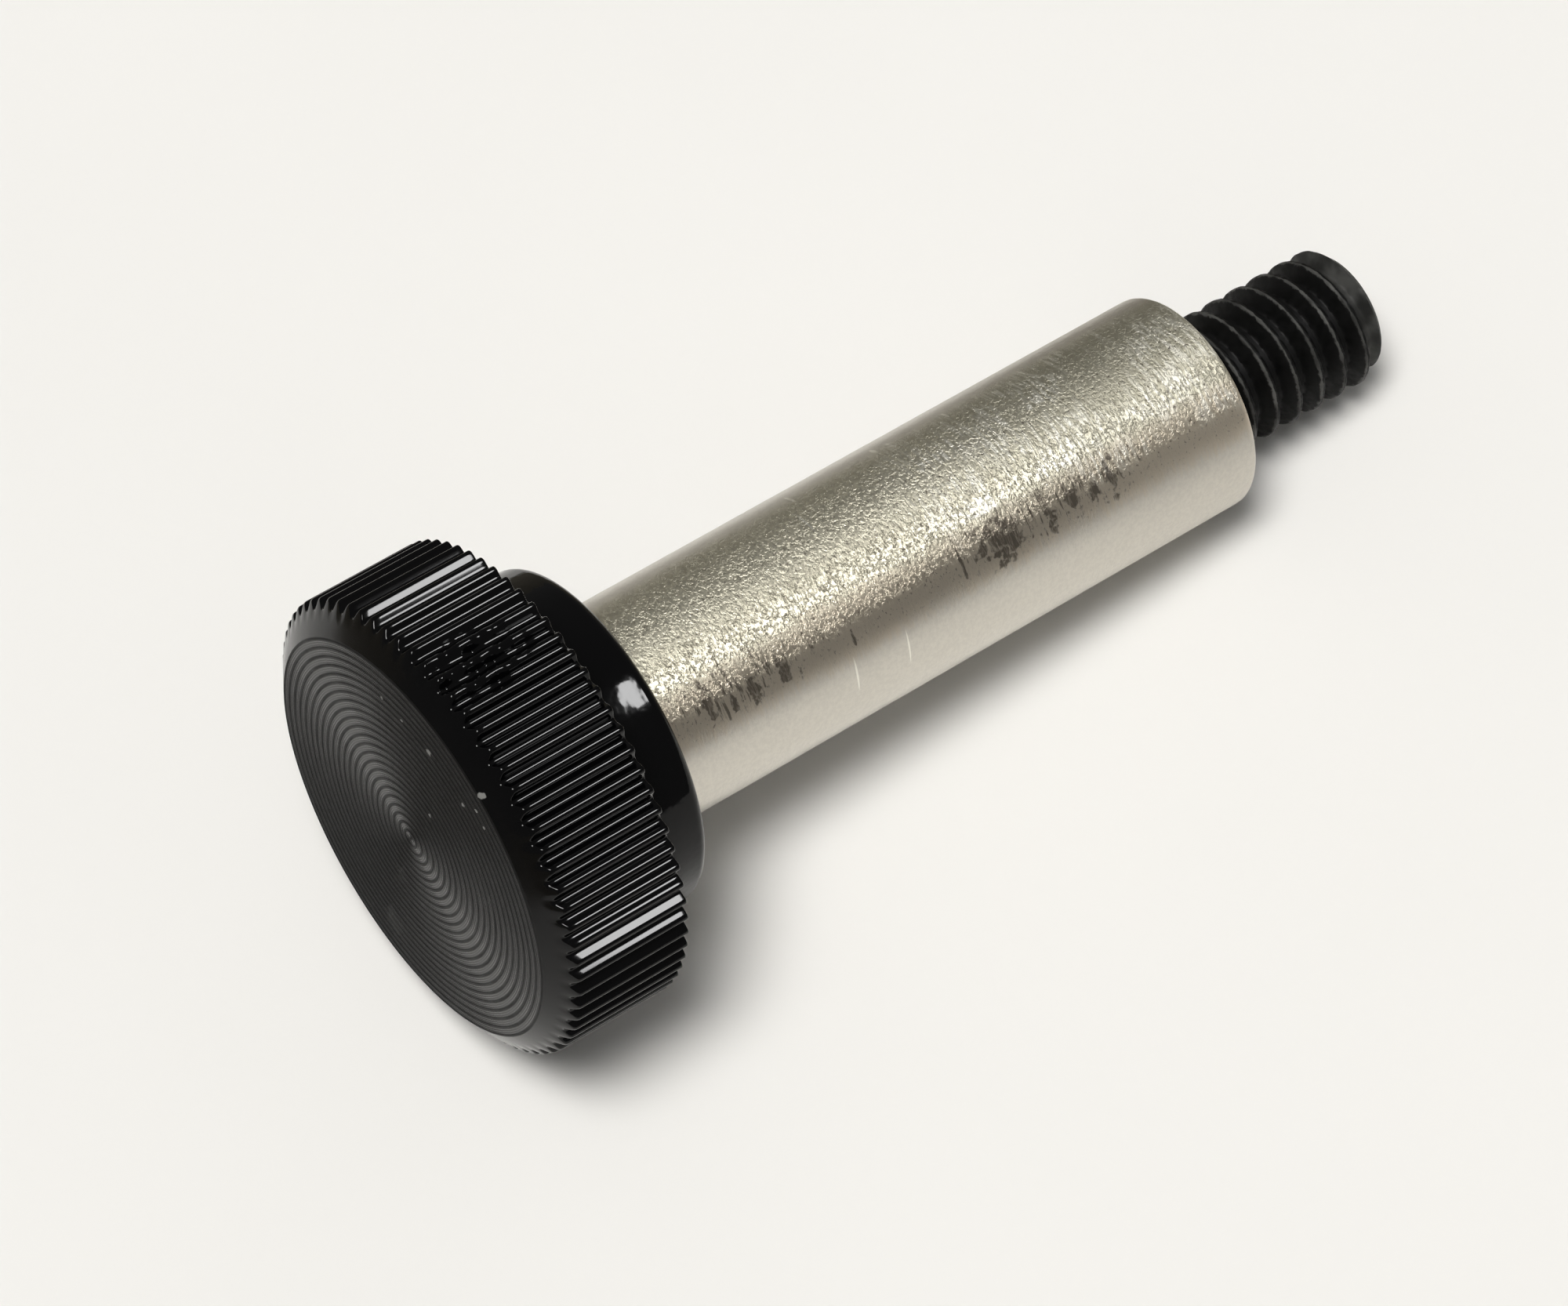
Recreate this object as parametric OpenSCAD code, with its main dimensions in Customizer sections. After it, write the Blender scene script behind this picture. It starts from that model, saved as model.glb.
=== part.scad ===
// Thumb screw: a straight-knurled thumb knob with a collar, a plain sleeve seated on the collar, and one
// long stud that runs through the sleeve into the knob. It stands on the knob's face, which lies at
// z = 0, with the screw's axis along +Z and the threaded tip on top. All sizes are in millimetres.

/* [Knob] */
// Diameter over the tops of the knurl's teeth
knob_d = 21; // [19.5:0.1:26]
// Height of the knurled rim, from the face to its back edge
rim_h = 6.3; // [5:0.1:9]
// Radial width of the bevel round the face
bevel_w = 1.4; // [0.8:0.1:2]
// Axial height of the bevel round the face
bevel_h = 0.9; // [0.5:0.1:1.5]
// Edge break at the back of the rim
rim_break = 0.12; // [0.05:0.01:0.3]

/* [Straight knurl] */
// Number of teeth round the rim
knurl_teeth = 72; // [48:4:96]
// Depth of the grooves below the tooth tops
knurl_depth = 0.3; // [0.2:0.02:0.4]
// Width of a tooth at its top
tooth_top_w = 0.41; // [0.1:0.01:0.5]
// Width of a groove at its floor
groove_floor_w = 0.06; // [0.02:0.02:0.1]

/* [Collar] */
// Diameter of the collar behind the rim
collar_d = 15.5; // [13:0.1:18]
// Height of the collar, from the rim's back to its seat for the sleeve
collar_h = 3.1; // [2:0.1:6]
// Radius of the collar's rounded back edge
collar_edge_r = 0.5; // [0.2:0.05:1]

/* [Shank] */
// Outside diameter of the sleeve
shank_d = 10; // [9:0.1:12]
// Length of the sleeve
shank_len = 31.4; // [12:0.1:60]
// Radius of the rounded edge at the sleeve's free end
shank_edge_r = 0.35; // [0.1:0.05:0.6]
// Chamfer at the sleeve's seated end
shank_seat_break = 0.15; // [0.05:0.05:0.4]
// Countersink at both mouths of the sleeve's bore
bore_chamfer = 0.35; // [0.1:0.05:0.6]

/* [Stud] */
// Outside diameter of the thread
stud_d = 6.3; // [5:0.1:7]
// How far the stud stands out of the sleeve
stud_reach = 8.9; // [5:0.1:20]
// How deep the stud sits in the knob
stud_grip = 6; // [4:0.1:7]
// How far the knob-end thread runs on into the sleeve, which it centres
stud_root_rise = 4; // [1:0.1:8]
// Diameter of the plain stretch between the stud's two threads
stud_waist_d = 5.5; // [4:0.1:6]
// Chamfer at both ends of the stud
stud_chamfer = 0.45; // [0.2:0.05:0.8]
// Distance from one groove of the thread to the next
thread_pitch = 1.27; // [1:0.01:1.6]
// Width of a thread groove at the outside
thread_groove_w = 0.48; // [0.2:0.02:0.5]

/* [Fits] */
// Radial room between the stud and the holes that it passes through
stud_clearance = 0.05; // [0.02:0.01:0.2]

/* [Hidden] */
$fn = 128;

// Margin by which a cutter passes the surface that it opens
cut_over = 0.5;

knob_r = knob_d / 2;
collar_r = collar_d / 2;
shank_r = shank_d / 2;
stud_r = stud_d / 2;
stud_waist_r = stud_waist_d / 2;
bore_r = stud_r + stud_clearance;
groove_w = PI * knob_d / knurl_teeth - tooth_top_w;

// Heights along the axis, from the face up
collar_top = rim_h + collar_h;
hole_floor = collar_top - stud_grip;
shank_top = collar_top + shank_len;
root_thread_top = collar_top + stud_root_rise;
stud_top = shank_top + stud_reach;

// The free thread: the angle between the flanks of a groove, the middle, and the number of grooves, which
// leave a land at both ends
thread_angle = 60;
thread_middle = (shank_top + stud_top - stud_chamfer) / 2;
thread_grooves = floor((stud_reach - stud_chamfer) / thread_pitch);

// Half section of a bar of radius r and height h, with its top outer edge rounded to edge_r.
module round_edged_section(r, h, edge_r) {
    square([r - edge_r, h]);
    square([r, h - edge_r]);
    translate([r - edge_r, h - edge_r])
        circle(r = edge_r);
}

// Half section of the rim: the flat face, the bevel round it, the outside and its broken back edge.
module rim_section() {
    polygon([
        [0, 0],
        [knob_r - bevel_w, 0],
        [knob_r, bevel_h],
        [knob_r, rim_h - rim_break],
        [knob_r - rim_break, rim_h],
        [0, rim_h],
    ]);
}

// Cross-section of one knurl groove, on +X. Outside the tooth tops it keeps its width, so that it stays
// clear of the next tooth.
module knurl_groove_section() {
    polygon([
        [knob_r - knurl_depth, -groove_floor_w / 2],
        [knob_r, -groove_w / 2],
        [knob_r + cut_over, -groove_w / 2],
        [knob_r + cut_over, groove_w / 2],
        [knob_r, groove_w / 2],
        [knob_r - knurl_depth, groove_floor_w / 2],
    ]);
}

// The grooves between the teeth, from in front of the bevel to past the rim's back edge. A tooth, and
// not a groove, lies on +X.
module knurl_grooves() {
    tooth_step = 360 / knurl_teeth;
    for (i = [0 : knurl_teeth - 1])
        rotate([0, 0, (i + 0.5) * tooth_step])
            translate([0, 0, -cut_over])
                linear_extrude(height = rim_h + 2 * cut_over)
                    knurl_groove_section();
}

// Thumb head and collar, turned from one bar, with a blind hole for the stud.
module knob() {
    color([0.07, 0.07, 0.075])
        difference() {
            rotate_extrude()
                union() {
                    rim_section();
                    round_edged_section(collar_r, collar_top, collar_edge_r);
                }
            knurl_grooves();
            translate([0, 0, hole_floor])
                cylinder(r = bore_r, h = stud_grip + cut_over);
        }
}

// Sleeve with a through bore, seated on the collar.
module shank() {
    color([0.72, 0.69, 0.63])
        translate([0, 0, collar_top])
            difference() {
                rotate_extrude()
                    intersection() {
                        round_edged_section(shank_r, shank_len, shank_edge_r);
                        polygon([
                            [0, 0],
                            [shank_r - shank_seat_break, 0],
                            [shank_r, shank_seat_break],
                            [shank_r, shank_len],
                            [0, shank_len],
                        ]);
                    }
                translate([0, 0, -cut_over])
                    cylinder(r = bore_r, h = shank_len + 2 * cut_over);
                bore_countersink();
                translate([0, 0, shank_len])
                    mirror([0, 0, 1])
                        bore_countersink();
            }
}

// Cone that opens the mouth of the sleeve's bore, with the mouth at z = 0.
module bore_countersink() {
    translate([0, 0, -cut_over])
        cylinder(r1 = bore_r + bore_chamfer + cut_over, r2 = bore_r, h = bore_chamfer + cut_over);
}

// Half section of the stud without its thread grooves: the end in the knob, the thinner plain stretch and
// the free end, which starts level with the sleeve's end.
module stud_section() {
    polygon([
        [0, hole_floor],
        [stud_r - stud_chamfer, hole_floor],
        [stud_r, hole_floor + stud_chamfer],
        [stud_r, root_thread_top],
        [stud_waist_r, root_thread_top],
        [stud_waist_r, shank_top],
        [stud_r, shank_top],
        [stud_r, stud_top - stud_chamfer],
        [stud_r - stud_chamfer, stud_top],
        [0, stud_top],
    ]);
}

// Half section of one thread groove, with its bottom at half of its height.
module thread_groove_section() {
    depth = thread_groove_w / 2 / tan(thread_angle / 2);
    polygon([
        [stud_r - depth, 0],
        [stud_r, -thread_groove_w / 2],
        [stud_r + cut_over, -thread_groove_w / 2],
        [stud_r + cut_over, thread_groove_w / 2],
        [stud_r, thread_groove_w / 2],
    ]);
}

// Double-ended stud, from the floor of the knob's hole to the tip. The free thread is drawn in the plain
// way, as rings at its pitch instead of a helix, and the hidden one at its outside diameter.
module threaded_stud() {
    color([0.1, 0.1, 0.1])
        rotate_extrude()
            difference() {
                stud_section();
                for (i = [0 : thread_grooves - 1])
                    translate([0, thread_middle + (i - (thread_grooves - 1) / 2) * thread_pitch])
                        thread_groove_section();
            }
}

knob();
shank();
threaded_stud();
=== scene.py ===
# %% [markdown]
# # A thumb screw, from its solids to its picture
# This lesson dresses a small turned part: a black knurled knob, a worn nickel-coloured sleeve and a black
# threaded stud. The solids already exist, at their real size. Here they get the surfaces that a picture
# shows: turned rings, knurl teeth, a helical thread, and three metal finishes with their wear.
# The solids are loaded first, because the sizes below are taken from them where their boxes show them.

# %% Load the solids
import math

import bpy
import numpy as np
from mathutils import Matrix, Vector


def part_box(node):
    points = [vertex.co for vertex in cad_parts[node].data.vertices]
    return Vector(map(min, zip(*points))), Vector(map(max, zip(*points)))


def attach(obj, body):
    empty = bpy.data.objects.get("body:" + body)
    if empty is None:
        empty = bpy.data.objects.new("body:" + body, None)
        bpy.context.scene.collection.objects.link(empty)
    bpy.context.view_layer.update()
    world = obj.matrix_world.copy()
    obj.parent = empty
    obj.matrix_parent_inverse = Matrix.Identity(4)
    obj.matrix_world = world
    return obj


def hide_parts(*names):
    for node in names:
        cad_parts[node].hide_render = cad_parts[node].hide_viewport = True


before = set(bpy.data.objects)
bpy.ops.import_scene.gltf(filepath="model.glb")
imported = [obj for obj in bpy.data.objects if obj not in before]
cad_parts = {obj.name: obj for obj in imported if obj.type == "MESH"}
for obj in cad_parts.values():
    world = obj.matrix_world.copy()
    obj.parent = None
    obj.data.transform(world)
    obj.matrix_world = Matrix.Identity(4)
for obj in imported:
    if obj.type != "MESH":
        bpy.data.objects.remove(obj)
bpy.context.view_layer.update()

MM = 0.001

# %% [markdown]
# ## Sizes
# Lengths are in metres, so a factor of one thousandth lets each value be written in millimetres. What the
# solids' boxes give, such as radii and heights, is read from them. What a box can't show, such as the
# bevel or the bore, repeats the maker's drawing. Only the collar's faint barrel form is new here.

# %% Sizes, some of them read from the solids' boxes
knob_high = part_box("knob")[1]
shank_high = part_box("shank")[1]
stud_low, stud_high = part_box("threaded_stud")

KNOB_R, COLLAR_TOP = knob_high.x, knob_high.z
SHANK_R, SHANK_TOP = shank_high.x, shank_high.z
STUD_R, STUD_TOP = stud_high.x, stud_high.z
HOLE_FLOOR = stud_low.z

RIM_H = 6.3 * MM
BEVEL_W = 1.4 * MM
BEVEL_H = 0.9 * MM
FACE_R = KNOB_R - BEVEL_W
COLLAR_R = 7.75 * MM
COLLAR_EDGE = 0.5 * MM
SHANK_EDGE = 0.35 * MM
SEAT_BREAK = 0.15 * MM
BORE_R = STUD_R + 0.05 * MM
BORE_MOUTH = 0.35 * MM

# The barrel form: the height where the collar is widest, and the radius of its flat arc
COLLAR_CREST = 8.5 * MM
COLLAR_BULGE_R = 21.0 * MM

radii = {"knob": KNOB_R, "collar": COLLAR_R, "shank": SHANK_R, "stud": STUD_R}
print("radii in mm:", {name: round(radius / MM, 3) for name, radius in radii.items()})

# %% [markdown]
# ## Camera
# The picture was taken with the screw lying down, while the solid stands on its head. The part is never
# turned: the camera and the floor are. Four facts fix the camera: the lens, the angle between the view line
# and the screw's axis, the way that the axis points on the picture, and where the centre of the face lies.
# The screw rests on two points, the back edge of the rim and the rounded edge of the sleeve's end, and that
# gives the floor's tilt. The last freedom, the turn about the axis, is chosen so that the floor faces +X
# and -Y.

# %% Directions in the camera's own axes: right, down and forward
PICTURE_W_PX = 2000
FOCAL_PX = 8000.0
VIEW_TO_AXIS = math.radians(66.361)
AXIS_ON_PICTURE = math.radians(-29.639)
FACE_CENTRE = np.array((-15.179, 7.545, 254.845)) * MM

# The floor touches the sleeve this far inside its radius and this far below its end
END_DROP = 0.003 * MM
END_SETBACK = 0.29 * MM


def unit(vectors):
    """A vector, or each row of an array, divided by its length."""
    vectors = np.asarray(vectors, float)
    return vectors / np.linalg.norm(vectors, axis=-1, keepdims=True)


axis_seen = np.array((
    math.sin(VIEW_TO_AXIS) * math.cos(AXIS_ON_PICTURE),
    math.sin(VIEW_TO_AXIS) * math.sin(AXIS_ON_PICTURE),
    math.cos(VIEW_TO_AXIS),
))
lie_angle = math.atan2(KNOB_R - SHANK_R + END_DROP, SHANK_TOP - END_SETBACK - RIM_H)
look_down = math.asin(math.sin(lie_angle) / math.hypot(axis_seen[1], axis_seen[2]))
look_down -= math.atan2(axis_seen[1], axis_seen[2])
floor_seen = np.array((0.0, -math.cos(look_down), -math.sin(look_down)))
upper_side = unit(floor_seen + math.sin(lie_angle) * axis_seen)
near_side = np.cross(axis_seen, upper_side)
print("the screw lies at", round(math.degrees(lie_angle), 2), "degrees to the floor")
print("the camera looks down by", round(math.degrees(look_down), 2), "degrees")

# %% The same directions in the part's frame, and the camera
SENSOR_MM = 36.0
CLIP_NEAR, CLIP_FAR = 0.01, 20.0

part_axes = np.stack([unit(upper_side + near_side), unit(near_side - upper_side), axis_seen])
camera_at = part_axes @ -FACE_CENTRE
RIGHT = part_axes @ (1.0, 0.0, 0.0)
UP = part_axes @ floor_seen
AWAY = np.cross(UP, RIGHT)


def put(thing, axes, point):
    """Places a lamp or a camera in the scene, with its own axes as the columns of a matrix."""
    matrix = np.eye(4)
    matrix[:3, :3] = axes
    matrix[:3, 3] = point
    bpy.context.scene.collection.objects.link(thing)
    thing.matrix_world = Matrix(matrix.tolist())


camera_data = bpy.data.cameras.new("camera")
camera_data.sensor_fit = "HORIZONTAL"
camera_data.sensor_width = SENSOR_MM
camera_data.lens = FOCAL_PX / PICTURE_W_PX * SENSOR_MM
camera_data.clip_start = CLIP_NEAR
camera_data.clip_end = CLIP_FAR
camera = bpy.data.objects.new("camera", camera_data)
put(camera, part_axes @ np.diag((1.0, -1.0, -1.0)), camera_at)
bpy.context.scene.camera = camera
print("camera at", np.round(camera_at / MM, 1), "mm, lens", camera_data.lens, "mm")

# %% [markdown]
# ## Shader helpers
# A material is a small network of nodes. Written out call by call it is long, so one helper adds a node,
# sets its fields, and fills its sockets: a socket takes either a plain value or another node's output.
# The other helpers are the few nodes that come back again and again.

# %% Adding nodes in one line
def fill(tree, node, sockets):
    """Fills a node's input sockets: another node's output is linked, and a plain value is set."""
    for name, value in sockets.items():
        if isinstance(value, bpy.types.NodeSocket):
            tree.links.new(value, node.inputs[name])
        else:
            node.inputs[name].default_value = value


def add(tree, kind, inputs=None, **fields):
    """Adds a node of that kind to a node tree, with its fields and its input sockets, and returns it."""
    made = tree.nodes.new(kind)
    for name, value in fields.items():
        setattr(made, name, value)
    fill(tree, made, inputs or {})
    return made


print("nodes can be added")

# %% Short names for common nodes
NOISE_RANGE = (0.3, 0.7)
CLOUDY = {"detail": 4.0, "roughness": 0.6}


def math_node(tree, operation, first, second=0.0):
    """One Math node's result, from two values or sockets."""
    return add(tree, "ShaderNodeMath", {0: first, 1: second}, operation=operation).outputs[0]


def times(tree, first, second):
    """The product of two values."""
    return math_node(tree, "MULTIPLY", first, second)


def largest(tree, first, second):
    """The larger of two values."""
    return math_node(tree, "MAXIMUM", first, second)


def vector_math(tree, operation, first, second=(0.0, 0.0, 0.0), output="Vector"):
    """One Vector Math node's result, from two vectors."""
    return add(tree, "ShaderNodeVectorMath", {0: first, 1: second}, operation=operation).outputs[output]


def ramp(tree, value, low, high, to_low=0.0, to_high=1.0):
    """A value mapped smoothly from the range low..high to to_low..to_high, and held at its ends."""
    sockets = {"Value": value, "From Min": low, "From Max": high, "To Min": to_low, "To Max": to_high}
    return add(tree, "ShaderNodeMapRange", sockets, interpolation_type="SMOOTHSTEP").outputs[0]


def mix_colour(tree, share, first, second):
    """Two colours mixed by a share from 0 to 1."""
    return add(tree, "ShaderNodeMix", {0: share, 6: first, 7: second}, data_type="RGBA").outputs[2]


def noise(tree, place, cells, detail=3.0, roughness=0.5):
    """Noise over a place vector, with that many cells a metre; most of its values lie in NOISE_RANGE."""
    sockets = {"Vector": place, "Scale": cells, "Detail": detail, "Roughness": roughness}
    return add(tree, "ShaderNodeTexNoise", sockets).outputs[0]


print("shader helpers are ready")

# %% [markdown]
# ## Floor and light
# A small glossy object is mostly a mirror of its surroundings, so the light is read from its highlights and
# its shadow. The soft shadow close under the screw tells of a broad panel overhead. The patch on the collar,
# the thin line on every tooth and the bright band along the shank are images of one lamp, up on the right.
# The rest of the room is dark. The pale sheet that the screw lies on ends outside the picture: the darker
# table beyond it shows only as a mirror image, in the dark bands of bevel, collar and shank.
# So the panel is painted on the world with a soft edge, the lamp is an oval area light, and the floor turns
# darker past the sheet's ends for every ray but the camera's. From below, the camera sees through the floor.

# %% Directions over the floor, and the world's glow
def toward(elevation, azimuth):
    """Unit vector at an elevation above the floor; azimuth 0 is the picture's right and 90 is away."""
    high, turn = math.radians(elevation), math.radians(azimuth)
    level = math.cos(turn) * RIGHT + math.sin(turn) * AWAY
    return math.cos(high) * level + math.sin(high) * UP


PANEL_TOWARD = toward(76.0, 229.0)
PANEL_INNER = math.radians(3.6)
PANEL_OUTER = math.radians(16.0)
PANEL_LEVEL = 27.4
ROOM_LEVEL = 0.17
WARM_WHITE = (1.0, 0.99, 0.97, 1.0)

world = bpy.data.worlds.new("room_with_panel")
world.use_nodes = True
bpy.context.scene.world = world
sky = world.node_tree
sky.nodes.clear()
sky_place = add(sky, "ShaderNodeTexCoord").outputs["Generated"]
along_panel = vector_math(sky, "DOT_PRODUCT", sky_place, PANEL_TOWARD, "Value")
from_panel = math_node(sky, "ARCCOSINE", along_panel)
glow = ramp(sky, from_panel, PANEL_INNER, PANEL_OUTER, PANEL_LEVEL, ROOM_LEVEL)
background = add(sky, "ShaderNodeBackground", {"Color": WARM_WHITE, "Strength": glow})
add(sky, "ShaderNodeOutputWorld", {"Surface": background.outputs[0]})
bpy.context.scene.view_settings.view_transform = "Standard"
print("panel of", PANEL_LEVEL, "in a room of", ROOM_LEVEL)

# %% The lamp that the collar mirrors
LAMP_SEEN_AT = math.radians(-26.5)
LAMP_DISTANCE = 0.6
LAMP_HALF_LENGTH = math.radians(9.0)
LAMP_HALF_WIDTH = math.radians(3.2)
LAMP_LEVEL = 31.0

mirror = np.array((math.cos(LAMP_SEEN_AT), math.sin(LAMP_SEEN_AT), 0.0))
collar_point = COLLAR_R * mirror + (0.0, 0.0, COLLAR_CREST)
to_camera = unit(camera_at - collar_point)
to_lamp = 2.0 * (mirror @ to_camera) * mirror - to_camera
along_lamp = unit(np.cross((0.0, 0.0, 1.0), to_lamp))

# The watts of an oval lamp are its level, times pi, times its area
lamp_data = bpy.data.lights.new("tube_lamp", "AREA")
lamp_data.shape = "ELLIPSE"
lamp_data.size = 2.0 * LAMP_DISTANCE * math.tan(LAMP_HALF_LENGTH)
lamp_data.size_y = 2.0 * LAMP_DISTANCE * math.tan(LAMP_HALF_WIDTH)
lamp_data.energy = LAMP_LEVEL * math.pi**2 / 4.0 * lamp_data.size * lamp_data.size_y
lamp = bpy.data.objects.new("tube_lamp", lamp_data)
lamp_axes = np.stack([along_lamp, np.cross(to_lamp, along_lamp), to_lamp], axis=1)
put(lamp, lamp_axes, collar_point + LAMP_DISTANCE * to_lamp)
lamp.visible_camera = False
lamp.visible_diffuse = False
print("lamp of", round(lamp_data.energy, 3), "watts,", round(lamp_data.size / MM), "mm across")

# %% The floor's square
FLOOR_HALF = 2.0
FLOOR_CORNERS = np.array([(-1, -1), (1, -1), (1, 1), (-1, 1)])

floor_point = RIM_H * np.array((0.0, 0.0, 1.0)) - KNOB_R * (part_axes @ upper_side)
corners = floor_point + FLOOR_HALF * FLOOR_CORNERS @ np.stack([RIGHT, AWAY])
floor_mesh = bpy.data.meshes.new("floor")
floor_mesh.from_pydata(corners.tolist(), [], [(0, 1, 2, 3)])
floor = bpy.data.objects.new("floor", floor_mesh)
bpy.context.scene.collection.objects.link(floor)
print("floor faces", np.round(UP, 3))

# %% The pale sheet, and the darker table past its ends
SHEET_ENDS = ((AWAY, 38.0 * MM), (toward(0.0, 228.0), 70.0 * MM), (-RIGHT, 42.0 * MM))
SHEET_SOFT = 4.0 * MM
SHEET_CELLS = 40.0
SHEET_TINT, SHEET_PALE = (0.90, 0.89, 0.865, 1.0), (0.93, 0.92, 0.895, 1.0)
TABLE_TINT = (0.21, 0.19, 0.15, 1.0)
SHEET_GLOSS, SHEET_SHINE = 0.7, 0.2
FAR_INSIDE = -1.0


def new_material(name):
    """An empty node material, its tree and the piece's Object coordinates."""
    material = bpy.data.materials.new(name)
    material.use_nodes = True
    material.node_tree.nodes.clear()
    place = add(material.node_tree, "ShaderNodeTexCoord").outputs["Object"]
    return material, material.node_tree, place


paper, tree, place = new_material("pale_table")
sheet = mix_colour(tree, noise(tree, place, SHEET_CELLS), SHEET_TINT, SHEET_PALE)
past_end = FAR_INSIDE
for direction, end in SHEET_ENDS:
    reach = vector_math(tree, "DOT_PRODUCT", place, direction, "Value")
    past_end = largest(tree, math_node(tree, "SUBTRACT", reach, end), past_end)
seen = add(tree, "ShaderNodeLightPath").outputs["Is Camera Ray"]
past_sheet = math_node(tree, "SUBTRACT", ramp(tree, past_end, 0.0, SHEET_SOFT), seen)
colour = mix_colour(tree, largest(tree, past_sheet, 0.0), sheet, TABLE_TINT)
sheet_sockets = {"Base Color": colour, "Roughness": SHEET_GLOSS, "Specular IOR Level": SHEET_SHINE}
surface = add(tree, "ShaderNodeBsdfPrincipled", sheet_sockets)
back = add(tree, "ShaderNodeNewGeometry").outputs["Backfacing"]
clear = add(tree, "ShaderNodeBsdfTransparent")
see_through = {0: times(tree, back, seen), 1: surface.outputs[0], 2: clear.outputs[0]}
shader = add(tree, "ShaderNodeMixShader", see_through)
add(tree, "ShaderNodeOutputMaterial", {"Surface": shader.outputs[0]})
floor_mesh.materials.append(paper)
print("the sheet ends", [round(end / MM) for _, end in SHEET_ENDS], "mm from the part's origin")

# %% [markdown]
# ## Lathe helpers
# All three pieces were turned on a lathe, so each is a stack of rings round the axis. A ring may be a plain
# circle, or its radius may change with the angle, as on the knurl and the thread. Neighbouring rings are
# joined with quads. Where a ring has several times as many points as its neighbour, as where the smooth
# face meets the knurl, a band of triangles joins them, so the surface stays closed without a dense face.

# %% Rings of points, and the faces between them
def turns(count):
    """That many angles round a full turn."""
    return np.arange(count) * (2.0 * math.pi / count)


def ring(radius, height, angles):
    """Points (r cos a, r sin a, z) over the angles; the radius and the height may change with the angle."""
    columns = np.broadcast_arrays(radius * np.cos(angles), radius * np.sin(angles), height)
    return np.stack(columns, axis=1)


def join_rings(first, second):
    """Faces between two rings of point numbers: quads, a fan at a pole, or triangles to a finer ring."""
    following, beyond = np.roll(first, -1), np.roll(second, -1)
    if len(first) == len(second):
        return np.stack([first, following, beyond, second], axis=1).tolist()
    if len(first) > len(second):
        return [face[::-1] for face in join_rings(second, first)]
    if len(first) == 1:
        return np.stack([np.repeat(first, len(second)), beyond, second], axis=1).tolist()
    step = len(second) // len(first)
    fine, fine_next = second.reshape(-1, step), beyond.reshape(-1, step)
    owner = np.where(np.arange(step) < step // 2, first[:, None], following[:, None])
    small = np.stack([owner, fine_next, fine], axis=2).reshape(-1, 3)
    large = np.stack([first, following, fine[:, step // 2]], axis=1)
    return small.tolist() + large.tolist()


print("rings can be joined")

# %% A turned piece, and its rounded corners
def turned_piece(name, rings, closed=False, sharp_degrees=35.0):
    """A mesh object from rings in order, smooth except at sharp edges; closed joins its two ends."""
    starts = np.cumsum([0] + [len(points) for points in rings])
    numbers = [np.arange(a, b) for a, b in zip(starts, starts[1:])]
    followers = numbers[1:] + numbers[:1] if closed else numbers[1:]
    faces = [face for a, b in zip(numbers, followers) for face in join_rings(a, b)]
    mesh = bpy.data.meshes.new(name)
    mesh.from_pydata(np.concatenate(rings).tolist(), [], faces)
    mesh.shade_smooth()
    mesh.set_sharp_from_angle(angle=math.radians(sharp_degrees))
    piece = bpy.data.objects.new(name, mesh)
    bpy.context.scene.collection.objects.link(piece)
    mesh.calc_loop_triangles()
    print(name, "has", len(mesh.loop_triangles), "triangles")
    return piece


def rounded_corner(before, corner, after, reach, count=5):
    """Points (r, z) of a soft corner: a quadratic curve that leaves and meets the two sides at that reach."""
    start = corner + reach * unit(before - corner)
    end = corner + reach * unit(after - corner)
    shares = np.linspace(0.0, 1.0, count)
    return [(1 - t) ** 2 * start + 2 * t * (1 - t) * corner + t**2 * end for t in shares]


def rounded_end(radius, top, edge, count):
    """Points (r, z) of a quarter circle from a bar's outside to its end face, without the first point."""
    bends = np.linspace(0.0, 0.5 * math.pi, count + 1)[1:]
    points = [radius - edge * (1.0 - np.cos(bends)), top - edge * (1.0 - np.sin(bends))]
    return np.stack(points, axis=1).tolist()


print("lathe helpers are ready")

# %% [markdown]
# ## Knob
# The knob is one turned piece: a face cut in fine rings by the facing tool, a bevel, a straight-knurled rim
# and a smooth collar. The rings could be a bump pattern, but their slopes decide which part of the floor
# they mirror, and that draws the bow-shaped sheen across the face, so they are modelled. A round-nosed tool
# leaves hollow scallops with sharp ridges between them, so a section is a row of parabolas. Each ring that
# the eye sees holds four finer tool marks: they are steep enough to blend bright floor and dark room into
# one even grey beside the sheen. The ridges between the rings are duller, so the rings show in the sheen.
# The knurl was pressed in by a roller. Its teeth are modelled too, because they show in the outline. Each has
# a round crest and a round groove of one size, with straight flanks between them. A round crest always has
# one spot that mirrors the lamp, so it draws a thin line of light; a straight flank lights up as a broad
# stripe, but only on the few teeth whose flank faces the lamp.

# %% The wave of the knurl
TEETH = 72
TOOTH_STEP = 2.0 * math.pi * KNOB_R / TEETH
TOOTH_COLUMNS = 24
BEND_R = 0.19 * MM
FLANK_ANGLE = math.radians(53.0)
FINE = turns(TEETH * TOOTH_COLUMNS)


def bend_drop(along):
    """Drop at a distance from a crest: a round arc, then the straight flank that it runs into."""
    on_arc = np.minimum(along, BEND_R * math.sin(FLANK_ANGLE))
    return BEND_R - np.sqrt(BEND_R**2 - on_arc**2) + (along - on_arc) * math.tan(FLANK_ANGLE)


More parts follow.
